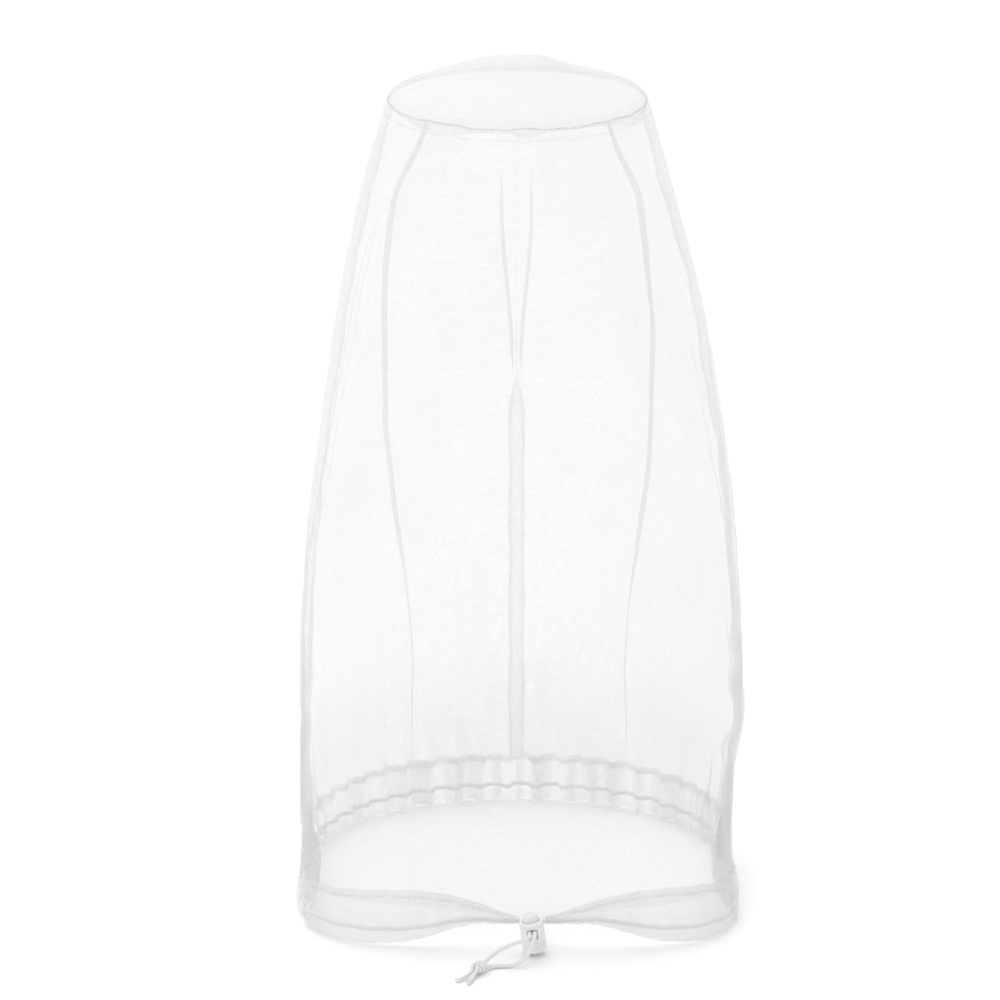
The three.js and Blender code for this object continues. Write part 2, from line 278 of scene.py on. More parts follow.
def uneven(angle, height, fineness, seed):
    """Smooth noise from about -1 to 1 that closes round the veil."""
    place = Vector((cos(angle), sin(angle), height / 0.12)) * fineness
    return noise.noise(place + Vector((seed, seed * 0.37, -seed)))


def between_knots(a, b, start, end, now):
    return (a * (end - now) + b * (now - start)) / (end - start)


def spline(points, steps):
    """Points along a centripetal Catmull-Rom curve."""
    ends = [points[0] * 2 - points[1], *points, points[-1] * 2 - points[-2]]
    result = []
    for i in range(len(points) - 1):
        a, b, c, d = ends[i:i + 4]
        ta = 0.0
        tb = ta + (b - a).length ** 0.5
        tc = tb + (c - b).length ** 0.5
        td = tc + (d - c).length ** 0.5
        for k in range(steps):
            now = mix(tb, tc, k / steps)
            ab = between_knots(a, b, ta, tb, now)
            bc = between_knots(b, c, tb, tc, now)
            cd = between_knots(c, d, tc, td, now)
            abc = between_knots(ab, bc, ta, tc, now)
            bcd = between_knots(bc, cd, tb, td, now)
            result.append(between_knots(abc, bcd, tb, tc, now))
    result.append(points[-1].copy())
    return result


def path_length(path):
    return sum((b - a).length for a, b in zip(path, path[1:]))


def distances(profile):
    """How far each point of a flat profile lies along it."""
    along = [0.0]
    for a, b in zip(profile, profile[1:]):
        along.append(along[-1] + hypot(b[0] - a[0], b[1] - a[1]))
    return along


# ---- Camera ----

view_distance = 4.0
view_rise = radians(17)
view_aim = Vector((-0.0094, 0, 0.217))
view_lens = 260.87


def make_camera():
    data = bpy.data.cameras.new("view")
    data.lens = view_lens
    data.sensor_width = 36
    data.clip_end = 30
    camera = link(bpy.data.objects.new("view", data))
    back = Vector((0, -cos(view_rise), sin(view_rise)))
    camera.location = view_aim + back * view_distance
    camera.rotation_euler = (-back).to_track_quat("-Z", "Y").to_euler()
    bpy.context.scene.camera = camera


make_camera()


# ---- Meshes ----

class Shell:
    """A mesh put together from grids and tubes. Its surface coordinates are in metres."""

    def __init__(self):
        self.bm = bmesh.new()
        self.uv = self.bm.loops.layers.uv.new("surface")

    def face(self, corners, places):
        face = self.bm.faces.new(corners)
        face.smooth = True
        for loop, place in zip(face.loops, places):
            loop[self.uv].uv = place

    def grid(self, points, places):
        """Rows of points, with a surface coordinate each. A last row or column that repeats
        the first one is joined to it."""
        rows = len(points)
        columns = len(points[0])
        ring = (points[0][0] - points[0][-1]).length < 1e-9
        loop = (points[0][0] - points[-1][0]).length < 1e-9
        verts = [[self.bm.verts.new(p) for p in row[:columns - ring]] for row in points[:rows - loop]]
        for r in range(rows - 1):
            for c in range(columns - 1):
                spots = [(r, c), (r, c + 1), (r + 1, c + 1), (r + 1, c)]
                corners = [verts[i % len(verts)][j % len(verts[0])] for i, j in spots]
                self.face(corners, [places[i][j] for i, j in spots])
        return verts

    def sheet(self, rows, columns, point, place=None):
        """A grid of point(row, column). Its surface coordinates are place(row, column), or
        without that the points' own x and y."""
        points = [[point(r, c) for c in range(columns + 1)] for r in range(rows + 1)]
        if place:
            places = [[place(r, c) for c in range(columns + 1)] for r in range(rows + 1)]
        else:
            places = [[(p.x, p.y) for p in row] for row in points]
        return self.grid(points, places)

    def cap(self, ring):
        self.face(ring, [(v.co.x, v.co.y) for v in ring])

    def tube(self, path, radius, sides=6, closed=False, first_up=None):
        """A round tube along a path. radius is a number, or a function of the distance along
        it and the angle round it."""
        count = len(path)
        along = 0.0
        ahead = (path[1] - path[0]).normalized()
        up = first_up or (Vector((0, 0, 1)) if abs(ahead.z) < 0.9 else Vector((1, 0, 0)))
        points = []
        places = []
        for i in range(count):
            before = path[i - 1] if i else (path[-2] if closed else path[0])
            after = path[i + 1] if i + 1 < count else (path[1] if closed else path[-1])
            ahead = (after - before).normalized()
            up = (up - ahead * up.dot(ahead)).normalized()
            side = ahead.cross(up)
            if i:
                along += (path[i] - path[i - 1]).length
            row = []
            spots = []
            for k in range(sides + 1):
                angle = step_angle(k, sides)
                r = radius(along, angle) if callable(radius) else radius
                row.append(path[i] + side * (r * cos(angle)) + up * (r * sin(angle)))
                spots.append((along, k / sides))
            points.append(row)
            places.append(spots)
        if closed:
            points[-1] = points[0]
        verts = self.grid(points, places)
        if not closed:
            for ring in (verts[0][::-1], verts[-1]):
                self.face(ring, [(0.0, 0.0)] * len(ring))

    def finished(self, name):
        """The mesh as an object that isn't in the scene yet."""
        mesh = bpy.data.meshes.new(name)
        self.bm.to_mesh(mesh)
        self.bm.free()
        return bpy.data.objects.new(name, mesh)

    def solid(self, name):
        bmesh.ops.recalc_face_normals(self.bm, faces=self.bm.faces)
        return self.finished(name)

    def piece(self, name, material, body, slot, nodes=(), parent=None):
        """One of the object's pieces, on its body or under another piece."""
        obj = link(self.solid(name))
        obj.data.materials.append(material)
        if parent:
            obj.parent = parent
        else:
            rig.ride(obj, body)
        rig.slot(obj, slot)
        if nodes:
            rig.replaces(obj, *nodes)
        return obj


# ---- Materials ----

def grey(level, blue=0.0):
    return level, level, level + blue


def new_material(name, colour, roughness, sheen=0.0):
    material = bpy.data.materials.new(name)
    material.use_nodes = True
    shader = material.node_tree.nodes["Principled BSDF"]
    shader.inputs["Base Color"].default_value = (*colour, 1)
    shader.inputs["Roughness"].default_value = roughness
    shader.inputs["Sheen Weight"].default_value = sheen
    shader.inputs["Sheen Roughness"].default_value = 0.5
    return material, Nodes(material.node_tree), shader


class Nodes:
    """Short calls for the shader nodes that the materials are made of."""

    def __init__(self, tree):
        self.tree = tree

    def add(self, kind, **settings):
        node = self.tree.nodes.new(kind)
        for key, value in settings.items():
            setattr(node, key, value)
        return node

    def put(self, socket, value):
        if isinstance(value, bpy.types.NodeSocket):
            self.tree.links.new(value, socket)
        else:
            socket.default_value = value

    def math(self, operation, *values):
        node = self.add("ShaderNodeMath", operation=operation)
        for socket, value in zip(node.inputs, values):
            self.put(socket, value)
        return node.outputs["Value"]

    def vector(self, operation, *values):
        node = self.add("ShaderNodeVectorMath", operation=operation)
        for socket, value in zip(node.inputs, values):
            self.put(socket, value)
        return node.outputs["Value" if operation == "LENGTH" else "Vector"]

    def surface(self):
        return self.add("ShaderNodeUVMap", uv_map="surface").outputs["UV"]

    def height(self):
        place = self.add("ShaderNodeSeparateXYZ")
        self.put(place.inputs["Vector"], self.add("ShaderNodeTexCoord").outputs["Object"])
        return place.outputs["Z"]

    def split(self, vector):
        node = self.add("ShaderNodeSeparateXYZ")
        self.put(node.inputs["Vector"], vector)
        return node.outputs["X"], node.outputs["Y"]

    def noise(self, scale, detail=3.0, vector=None):
        node = self.add("ShaderNodeTexNoise")
        node.inputs["Scale"].default_value = scale
        node.inputs["Detail"].default_value = detail
        self.put(node.inputs["Vector"], vector or self.add("ShaderNodeTexCoord").outputs["Object"])
        return node.outputs["Fac"]

    def range(self, value, low, high, new_low, new_high, smoothly=False):
        node = self.add("ShaderNodeMapRange")
        node.interpolation_type = "SMOOTHSTEP" if smoothly else "LINEAR"
        for name, number in zip(("Value", "From Min", "From Max", "To Min", "To Max"),
                                (value, low, high, new_low, new_high)):
            self.put(node.inputs[name], number)
        return node.outputs["Result"]

    def join(self, x, y=0.0):
        node = self.add("ShaderNodeCombineXYZ")
        self.put(node.inputs["X"], x)
        self.put(node.inputs["Y"], y)
        return node.outputs["Vector"]

    def wave(self, turns):
        return self.math("SINE", self.math("MULTIPLY", turns, 2 * pi))

    def tint(self, shader, share, dark, light, blue=0.0):
        """Greys from dark to light, a little more blue or less."""
        node = self.add("ShaderNodeMix", data_type="RGBA")
        self.put(node.inputs["Factor"], share)
        self.put(node.inputs[6], (*grey(dark, blue), 1))
        self.put(node.inputs[7], (*grey(light, blue), 1))
        self.put(shader.inputs["Base Color"], node.outputs[2])

    def rough(self, shader, share, low, high):
        self.put(shader.inputs["Roughness"], self.range(share, 0.3, 0.7, low, high))

    def bump(self, shader, height, distance, strength=1.0):
        node = self.add("ShaderNodeBump")
        node.inputs["Distance"].default_value = distance
        node.inputs["Strength"].default_value = strength
        self.put(node.inputs["Height"], height)
        self.put(shader.inputs["Normal"], node.outputs["Normal"])


net_pitch = 0.0008  # between the holes of the net
net_hole = 0.42  # radius of a hole, as a share of the pitch
net_strand = 0.0003  # the length of a turn of the net's twisted thread
thread_turn = 0.0006  # the same for the sewing thread
braid_turn = 0.0022  # and for the cord's strands
braid_strands = 4  # that run each way round the cord
warm = -0.005  # how much less blue than grey the off-white pieces are
steel_blue = 0.02


def net_material(name, dark, light, thread_cover, hole_cover, gathered=0.0, folded=0.0):
    """Knitted net: round holes in a triangular pattern, between them twisted thread.
    It is closer near the hem by the share gathered, and more and less close along the hem
    by the share folded."""
    material, nodes, shader = new_material(name, grey(dark), 0.8, 0.15)
    wander = nodes.range(nodes.noise(90.0, 2.0, nodes.surface()), 0, 1, -0.35, 0.35)
    place = nodes.vector("MULTIPLY", nodes.surface(), (1 / net_pitch, 1 / net_pitch, 0))
    place = nodes.vector("ADD", place, nodes.join(wander, wander))
    half = (0.5, sqrt(3) / 2, 1)
    whole = tuple(-x for x in half)
    near = nodes.vector("LENGTH", nodes.vector("WRAP", place, half, whole))
    between = nodes.vector("ADD", place, (half[0], half[1], 0))
    other = nodes.vector("LENGTH", nodes.vector("WRAP", between, half, whole))
    from_hole = nodes.math("MINIMUM", near, other)
    thread = nodes.range(from_hole, net_hole - 0.05, net_hole + 0.05, 0, 1, True)
    cloud = nodes.range(nodes.noise(22.0, 4.0), 0.3, 0.7, 0.92, 1.08)
    cover = nodes.range(thread, 0, 1, hole_cover, thread_cover)
    if gathered:
        closer = nodes.range(nodes.height(), 0.035, 0.11, 1 + gathered, 1, True)
        cover = nodes.math("MULTIPLY", cover, closer)
    if folded:
        folds = nodes.noise(95.0, 1.0, nodes.join(nodes.split(nodes.surface())[0]))
        cover = nodes.math("MULTIPLY", cover, nodes.range(folds, 0.4, 0.6, 1 - folded, 1 + folded, True))
    nodes.put(shader.inputs["Alpha"], nodes.math("MULTIPLY", cover, cloud))
    tone = nodes.range(nodes.noise(14.0, 3.0), 0.3, 0.7, 0, 1)
    nodes.tint(shader, tone, dark, light)
    u, v = nodes.split(nodes.surface())
    twist = nodes.math("SINE", nodes.math("MULTIPLY", nodes.math("ADD", u, v), 2 * pi / net_strand))
    height = nodes.math("ADD", thread, nodes.math("MULTIPLY", twist, 0.15))
    nodes.bump(shader, height, 0.00012, 0.7)
    return material


def thread_material():
    material, nodes, shader = new_material("sewing_thread", grey(0.9, warm), 0.6, 0.1)
    u, v = nodes.split(nodes.surface())
    turns = nodes.math("ADD", nodes.math("MULTIPLY", u, 1 / thread_turn), nodes.math("MULTIPLY", v, 2))
    twist = nodes.wave(turns)
    # The colour follows the twist, darker in the grooves between the plies: painted shade.
    nodes.tint(shader, nodes.range(twist, -1, 1, 0, 1), 0.85, 0.94, warm)
    nodes.rough(shader, nodes.noise(700.0), 0.5, 0.75)
    nodes.bump(shader, twist, 0.00006, 0.8)
    return material


def cord_material():
    """Braided cord: strands that cross over and under each other, and a little fuzz."""
    material, nodes, shader = new_material("braided_cord", grey(0.7, 2 * warm), 0.75, 0.25)
    u, v = nodes.split(nodes.surface())
    along = nodes.math("MULTIPLY", u, 1 / braid_turn)
    round_it = nodes.math("MULTIPLY", v, braid_strands)
    waves = [nodes.wave(nodes.math(way, along, round_it)) for way in ("ADD", "SUBTRACT")]
    fuzz = nodes.math("MULTIPLY", nodes.noise(2500.0, 2.0), 0.5)
    height = nodes.math("ADD", nodes.math("MAXIMUM", *waves), fuzz)
    # The colour follows the braid's height, so the grooves between the strands are painted shade; the fuzz in it adds a
    # random tone.
    nodes.tint(shader, nodes.range(height, 0, 1.3, 0, 1), 0.84, 0.95, warm)
    nodes.rough(shader, nodes.noise(400.0), 0.65, 0.85)
    nodes.bump(shader, height, 0.00018, 0.8)
    return material


def plastic_material(name, dark, light, grain):
    """Satin moulded plastic with a fine eroded grain, faint flow marks and handling wear."""
    material, nodes, shader = new_material(name, grey(light, warm), 0.4)
    nodes.tint(shader, nodes.range(nodes.noise(180.0, 4.0), 0.35, 0.65, 0, 1), dark, light, warm)
    worn = nodes.range(nodes.noise(420.0, 3.0), 0.45, 0.65, 0.34, 0.52)
    nodes.put(shader.inputs["Roughness"], worn)
    fine = nodes.noise(grain, 2.0)
    scuffs = nodes.math("MULTIPLY", nodes.noise(900.0, 5.0), 0.6)
    nodes.bump(shader, nodes.math("ADD", fine, scuffs), 0.00005, 0.5)
    shader.inputs["Specular IOR Level"].default_value = 0.45
    return material


def steel_material():
    material, nodes, shader = new_material("spring_wire", grey(0.7, steel_blue), 0.3)
    shader.inputs["Metallic"].default_value = 1.0
    u, v = nodes.split(nodes.surface())
    streak = nodes.join(nodes.math("MULTIPLY", u, 60), nodes.math("MULTIPLY", v, 30))
    drawn = nodes.noise(6.0, 4.0, streak)
    nodes.rough(shader, drawn, 0.22, 0.42)
    nodes.tint(shader, drawn, 0.55, 0.8, steel_blue)
    nodes.bump(shader, drawn, 0.00002, 0.6)
    return material


def floor_material():
    material, nodes, shader = new_material("floor", grey(0.97), 0.9)
    nodes.tint(shader, nodes.range(nodes.noise(3.0, 4.0), 0.3, 0.7, 0, 1), 0.965, 0.98)
    nodes.bump(shader, nodes.noise(400.0, 3.0), 0.0001, 0.2)
    return material


netting = net_material("fine_net", 0.89, 0.92, 0.61, 0.14)
gathered_netting = net_material("gathered_net", 0.89, 0.92, 0.61, 0.14, gathered=0.6)
crown_netting = net_material("crown_net", 0.81, 0.85, 0.75, 0.32)
# The hem and seam copies of the net are a little lighter than the body net, to offset the shade in their stacked
# layers: painted light.
hem_netting = net_material("hem_net", 0.91, 0.94, 0.66, 0.18, folded=0.1)
drawn_netting = net_material("drawn_hem_net", 0.91, 0.94, 0.68, 0.2, folded=0.32)
seam_netting = net_material("seam_net", 0.91, 0.95, 0.52, 0.1)
sewing_thread = thread_material()
braided_cord = cord_material()
barrel_plastic = plastic_material("barrel_plastic", 0.86, 0.9, 5200.0)
button_plastic = plastic_material("button_plastic", 0.82, 0.86, 6400.0)
spring_wire = steel_material()


# ---- The surface that the netting lies on ----

def body_radius(height):
    if height < belly_height:
        below = (belly_height - height) / belly_height
        return belly_radius - hem_tuck * below ** 2
    above = min(1.0, (height - belly_height) / (crown_height - belly_height))
    return belly_radius - (belly_radius - crown_radius) * above ** shoulder_power


def outline_factor(angle, height):
    front = cos(angle)
    across = abs(sin(angle))
    low = 1 - min(1.0, height / crown_height)
    power = 2 + ((front_squareness if front > 0 else back_squareness) - 2) * low
    return 1 / (across ** power + abs(front) ** power) ** (1 / power)


def squeezed_height(angle, height):
    """The hem is squeezed to a narrow mouth, level with the lock's hole."""
    away = turn(angle, mouth_angle) * hem_radius / squeeze_width
    share = exp(-away * away) * (1 - mouth_squeeze)
    if height <= casing_height:
        return height + (mouth_height - height) * share
    up = min(1.0, (height - casing_height) / squeeze_fade)
    return height + (mouth_height - casing_height) * share * (1 - up) ** 2 * (1 + 2 * up)


def veil_point(angle, height, offset=0.0):
    radius = body_radius(height) * outline_factor(angle, height) + offset
    return Vector((radius * sin(angle), -radius * cos(angle), squeezed_height(angle, height)))


# ---- How the real cloth differs from that plain surface ----

gather_count = 47
front_gather = 0.0005
back_gather = 0.0031
side_gather = 0.0034
side_gather_places = (-68, 71)
side_gather_width = 17


def gathers(angle, height):
    """Small folds that the drawcord pulls into the hem, which die away up the net."""
    back = (1 - cos(angle)) / 2
    side = sum(lobe(angle, place, side_gather_width) for place in side_gather_places)
    near_mouth = hump(turn(angle, mouth_angle) * hem_radius, 0.016)
    depth = (mix(front_gather, back_gather, back ** 2) + side_gather * side) * (1 - near_mouth)
    depth *= 1 + 0.5 * uneven(angle, 0, 5.0, 3.1)
    phase = gather_count * angle + 3.2 * uneven(angle, height, 2.2, 7.7)
    folds = sin(phase) + 0.4 * sin(2 * phase + 1.3 + 2 * uneven(angle, 0, 3.0, 1.9))
    above = max(0.0, height - casing_height)
    fade = exp(-above / (0.026 + 0.04 * back + 0.12 * side))
    low = mix(0.75, 1.0, smooth(0, casing_height, height))
    return depth * (folds - side) * fade * low


def lobe(angle, middle, width):
    """A rise and fall round the veil, with its middle and width in degrees."""
    return hump(turn(angle, radians(middle)), radians(width))


def flare(angle, height):
    """The front hem stands out in two lobes, to both sides of where it is pinched."""
    left = 0.0108 * lobe(angle, -46, 20)
    right = 0.0148 * lobe(angle, 46, 19)
    return (left + right) * (1 - smooth(-0.01, 0.075, height))


def kink(angle, height):
    """A dent where the right side has slumped, with the cloth over it pushed out."""
    across = turn(angle, quarter) * body_radius(height)
    return hump(across, 0.03) * (0.0024 * hump(height - 0.094, 0.012) - 0.0026 * hump(height - 0.075, 0.008))


def lean(angle, height):
    """The bag hangs over to the right, and its sides are drawn in over the hem."""
    side = sin(angle)
    over = 0.003 * side * abs(side) * smooth(0.06, 0.105, height) * (1 - smooth(0.27, 0.42, height))
    drawn_in = 0.0018 * (1 - smooth(0.05, 0.105, height)) + 0.002 * (1 - smooth(0.02, 0.045, height))
    return over - drawn_in * side ** 4


def slack(angle, height):
    """Long shallow waves down the net."""
    free = smooth(casing_height, 0.09, height) * (1 - smooth(0.36, panel_top, height))
    long_waves = uneven(angle, height * 0.25, 2.6, 12.4)
    short_waves = uneven(angle, height * 0.6, 6.5, 4.9)
    return free * (0.0022 * long_waves + 0.0009 * short_waves)


def draped_point(angle, height, offset=0.0):
    sewn = gathers(angle, height) + flare(angle, height)
    hung = kink(angle, height) + lean(angle, height) + slack(angle, height)
    return veil_point(angle, height, offset + sewn + hung)


# ---- Short cloth simulation of the net, kept as how far each place moves ----

relax_columns = 150
relax_rows = 88
relax_frames = 10
relax_limit = 0.0045  # no place moves further than this
edge_hold = 1.0  # how firmly the hem and the crown seam are held
seam_hold = 0.6
free_hold = 0.02
cloth_stretch = 1.012  # the cloth is a little larger than the bag stands, both ways


def relax_height(row):
    return mix(panel_bottom, panel_top, row / relax_rows)


def extra_cloth(height):
    """How much wider the cloth is than the way it stands: most just above the gathered hem."""
    return cloth_stretch + 0.05 * exp(-(height - panel_bottom) / 0.045)


def net_for_relaxing():
    steps = [2 * pi * c / relax_columns for c in range(relax_columns)]
    start = [draped_point(a, relax_height(r)) for r in range(relax_rows + 1) for a in steps]
    faces = []
    for r in range(relax_rows):
        for c in range(relax_columns):
            after = (c + 1) % relax_columns
            low = r * relax_columns
            high = low + relax_columns
            faces.append((low + c, low + after, high + after, high + c))
    mesh = bpy.data.meshes.new("relaxing_net")
    mesh.from_pydata(start, [], faces)
    net = bpy.data.objects.new("relaxing_net", mesh)
    link(net)
    net.shape_key_add(name="Basis")
    wide = net.shape_key_add(name="Cut")
    for i, point in enumerate(start):
        more = extra_cloth(relax_height(i // relax_columns))
        wide.data[i].co = (point.x * more, point.y * more, point.z * cloth_stretch)
    return net, start


def relaxed_moves():
    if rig.quick():
        return None
    net, start = net_for_relaxing()
    pins = net.vertex_groups.new(name="sewn")
    for i in range(len(start)):
        row, column = divmod(i, relax_columns)
        angle = 2 * pi * column / relax_columns
        seam = min(abs(turn(angle, a)) for a in (quarter, -quarter, pi)) < pi / relax_columns
        edge = row in (0, relax_rows)
        pins.add([i], edge_hold if edge else (seam_hold if seam else free_hold), "REPLACE")
    cloth = net.modifiers.new("Cloth", "CLOTH")
    settings = cloth.settings
    settings.quality = 5
    settings.mass = 0.05
    settings.tension_stiffness = 12
    settings.compression_stiffness = 12
    settings.shear_stiffness = 2
    settings.bending_stiffness = 0.6
    # Damping inside the cloth would make tiny differences in its start grow.
    settings.tension_damping = 0
    settings.compression_damping = 0
    settings.shear_damping = 0
    settings.bending_damping = 0
    settings.air_damping = 3
    settings.vertex_group_mass = "sewn"
    settings.rest_shape_key = net.data.shape_keys.key_blocks["Cut"]
    settings.effector_weights.gravity = 0.15
    cloth.collision_settings.use_collision = False
    cloth.point_cache.frame_start = 1
    cloth.point_cache.frame_end = relax_frames
    scene = bpy.context.scene
    for number in range(1, relax_frames + 1):
        scene.frame_set(number)
    result = net.evaluated_get(bpy.context.evaluated_depsgraph_get()).data
    moves = []
    for vertex, point in zip(result.vertices, start):
        move = vertex.co - point
        if move.length > relax_limit:
            move *= relax_limit / move.length
        moves.append(move.copy())
    bpy.data.objects.remove(net)
    scene.frame_set(1)
    return [moves[r * relax_columns:(r + 1) * relax_columns] for r in range(relax_rows + 1)]


net_moves = relaxed_moves()


def relaxed(angle, height):
    """How far the simulation moves the net at a place."""
    if net_moves is None:
        return Vector((0, 0, 0))
    row = min(max((height - panel_bottom) / (panel_top - panel_bottom), 0.0), 1.0) * relax_rows
    column = (angle / (2 * pi) % 1.0) * relax_columns
    r = min(int(row), relax_rows - 1)
    c = int(column) % relax_columns
    after = (c + 1) % relax_columns
    share = column - int(column)
    low = mix(net_moves[r][c], net_moves[r][after], share)
    high = mix(net_moves[r + 1][c], net_moves[r + 1][after], share)
    return mix(low, high, row - r)


def cloth_point(angle, height, offset=0.0):
    return draped_point(angle, height, offset) + relaxed(angle, height)


# ---- Net panels, with their pleats ----

panel_rows = 112
sewn_bottom = 0.0238  # the net is caught between the casing's two layers
sewn_top = crown_height - 0.0003
column_width = 0.0042
pleat_reach = 0.0036
# Across and outwards, for a pleat of full depth: the cloth doubles back under itself.
pleat_section = [
    (-0.0036, 0.0), (-0.0022, 0.0007), (-0.0006, 0.0011), (0.0009, 0.0011), (0.0013, 0.0009),
    (0.001, 0.0007), (0.0, 0.00055), (-0.001, 0.0004), (-0.0013, 0.0002), (-0.0009, 0.0),
    (0.0006, -0.0001), (0.0021, 0.0), (0.0036, 0.0),
]


def front_pleat(side):
    """A soft crease down the front, from the crown seam towards the hem."""
    def place(height):
        spread = 26 + 26 * smooth(0.15, 0.43, height) - 9 * smooth(0.4, crown_height, height)
        return side * radians(spread)

    def depth(height):
        lower = 0.3 * smooth(0.09, 0.15, height) + 0.7 * smooth(0.19, 0.25, height)
        return max(0.02, lower * (1 + 0.35 * hump(height - 0.4, 0.03)))
    return side, place, depth


def back_pleat(side):
    """Two creases that run together into the centre-back seam."""
    def place(height):
        across = mix(0.0024, 0.0085, smooth(0.262, 0.362, height))
        return pi - side * across / body_radius(height) if side > 0 else (
            -pi + across / body_radius(height))

    def depth(height):
        return max(0.02, 0.8 * smooth(0.255, 0.275, height) * (1 - smooth(0.35, 0.39, height)))
    return side, place, depth


def fixed(angle):
    return lambda height: angle


def plain_columns(start, end, around):
    count = max(2, round(abs(end(0.2) - start(0.2)) * body_radius(0.2) / column_width))
    first = 1 if around[0] else 0
    last = count if around[1] else count + 1

    def column(share):
        return lambda height: (mix(start(height), end(height), share), 0.0)
    return [column(i / count) for i in range(first, last)]


def pleat_columns(side, place, depth):
    def column(across, out):
        def at(height):
            deep = depth(height)
            return place(height) + side * across * deep / body_radius(height), out * deep
        return at
    ends = pleat_section if side > 0 else pleat_section[::-1]
    return [column(across, out) for across, out in ends]


def edge_of(pleat, end):
    side, place, depth = pleat
    return lambda height: place(height) + end * pleat_reach * depth(height) / body_radius(height)


def net_panel(name, start, pleats, end, node, material):
    stops = [(fixed(start), False)]
    columns = []
    for pleat in pleats:
        columns += plain_columns(stops[-1][0], edge_of(pleat, -1), (stops[-1][1], True))
        columns += pleat_columns(*pleat)
        stops.append((edge_of(pleat, 1), True))
    columns += plain_columns(stops[-1][0], fixed(end), (stops[-1][1], False))
    points = []
    places = []
    for r in range(panel_rows + 1):
        height = mix(sewn_bottom, sewn_top, r / panel_rows)
        row = []
        for column in columns:
            angle, out = column(height)
            row.append(cloth_point(angle, height, out))
        across = 0.0
        spots = [0.0]
        for a, b in zip(row, row[1:]):
            across += (b - a).length
            spots.append(across)
        points.append(row)
        places.append([(x - across / 2, height) for x in spots])
    shell = Shell()
    shell.grid(points, places)
    return shell.piece(name, material, "veil", "netting", [node])


def cloth_area(piece):
    return sum(face.area for face in piece.data.polygons)


def declare_sheet(piece, width, length, held, rests_on, with_pieces=()):
    area = min(cloth_area(piece), width * length)
    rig.sheet(piece, flat=(width, length), held=held, rests_on=rests_on, area=area,
             with_pieces=list(with_pieces))


front = net_panel("net_front", -quarter, [front_pleat(-1), front_pleat(1)], quarter,
                  "front_panel", netting)
back_right = net_panel("net_back_right", quarter, [back_pleat(1)], pi,
                       "back_panel_right", gathered_netting)
back_left = net_panel("net_back_left", -pi, [back_pleat(-1)], -quarter,
                      "back_panel_left", gathered_netting)


# ---- Crown ----

dome_rows = 26
dome_columns = 120
crown_edge = 0.0709


def crown_point(angle, radius):
    """A shallow dome, a little puckered at its seam and slumped on its right slope."""
    share = radius / crown_radius
    height = crown_base + (crown_top - crown_base) * (1 - share ** dome_power)
    height -= (crown_base - crown_height) * smooth(0.95, 1.0, share)
    pucker = sin(34 * angle + 4 * uneven(angle, 0, 2.0, 5.5)) * smooth(0.72, 1.0, share)
    height += 0.0007 * pucker * (1 - 0.8 * smooth(0.97, 1.0, share))
    x = radius * sin(angle)
    y = -radius * cos(angle)
    height -= 0.0026 * exp(-((x - 0.036) / 0.02) ** 2 - ((y + 0.005) / 0.04) ** 2)
    height -= 0.0012 * exp(-((x + 0.048) / 0.014) ** 2 - ((y - 0.01) / 0.03) ** 2)
    height += 0.001 * noise.noise(Vector((x, y, 0)) * 38) * (1 - share ** 3)
    return Vector((x, y, height))


def make_crown():
    def point(r, c):
        return crown_point(step_angle(c, dome_columns), crown_edge * max(0.004, 1 - r / dome_rows))
    shell = Shell()
    shell.cap(shell.sheet(dome_rows, dome_columns, point)[-1])
    return shell.piece("net_crown", crown_netting, "veil", "netting", ["crown_panel"])


crown = make_crown()


# ---- Sewing thread ----

def running_stitches(shell, place, start, end, pitch, length, radius):
    """Separate stitches along a line: place(distance) gives a point of it."""
    count = int((end - start) / pitch)
    for i in range(count):
        first = start + i * pitch
        shell.tube([place(first + length * k / 4) for k in range(5)], radius)


def on_net(angle, height, lift):
    """A point of the net, lifted straight out."""
    return cloth_point(angle, height) + Vector((sin(angle), -cos(angle), 0)) * lift


# ---- Side seams: both edges overlocked together and standing inwards ----

seam_rows = 140
seam_width = 0.008
seam_length = panel_top - panel_bottom
crown_girth = 2 * pi * crown_radius
overlock_pitch = 0.0024
overlock_radius = 0.00009
back_allowance_top = 0.25  # over this it is caught in the two creases


def side_allowance(side):
    """A point of the seam's edge strip: across is 0 at the seam and 1 at its free edge."""
    def place(across, height, off=0.0):
        wave = 0.0004 * sin(height * 190 + side) + 0.0004 * sin(height * 67)
        offset = -0.0004 - (0.0046 + wave) * across
        angle = side * quarter - side * 0.0036 * across / body_radius(height)
        return cloth_point(angle, height, offset) + Vector((0, 1, 0)) * off
    return place


def back_allowance(across, height, off=0.0):
    """Lies flat to both sides of the centre-back seam: across runs from -1 to 1."""
    half = mix(0.0042, 0.00016, smooth(0.235, 0.262, height))
    half *= 1 + 0.08 * sin(height * 120)
    angle = pi + across * half / body_radius(height)
    lifted = 0.0006 * abs(across) * (1 + sin(height * 210 + 2 * across))
    return cloth_point(angle, height, -0.0011 - lifted - off)


def up_seam(share):
    return mix(panel_bottom, panel_top, share)


def strip(name, place, low, high, columns, node):
    def point(r, c):
        return place(mix(low, high, c / columns), up_seam(r / seam_rows))

    def spot(r, c):
        return seam_width * c / columns, up_seam(r / seam_rows)
    shell = Shell()
    shell.sheet(seam_rows, columns, point, spot)
    return shell.piece(name, seam_netting, "veil", "seam_tape", [node])


def zigzag(place, low, high, off):
    """Thread that goes to and fro across a seam."""
    path = []
    for i in range(int((seam_length - 0.002) / overlock_pitch)):
        height = panel_bottom + 0.001 + i * overlock_pitch
        side = 1 if i % 2 else -1
        path.append(place(low, height, side * off))
        path.append(place(high, height + overlock_pitch * 0.45, side * off))
    return path


def seam_thread(name, shell, parent):
    return shell.piece(name, sewing_thread, "veil", "seam_tape", parent=parent)


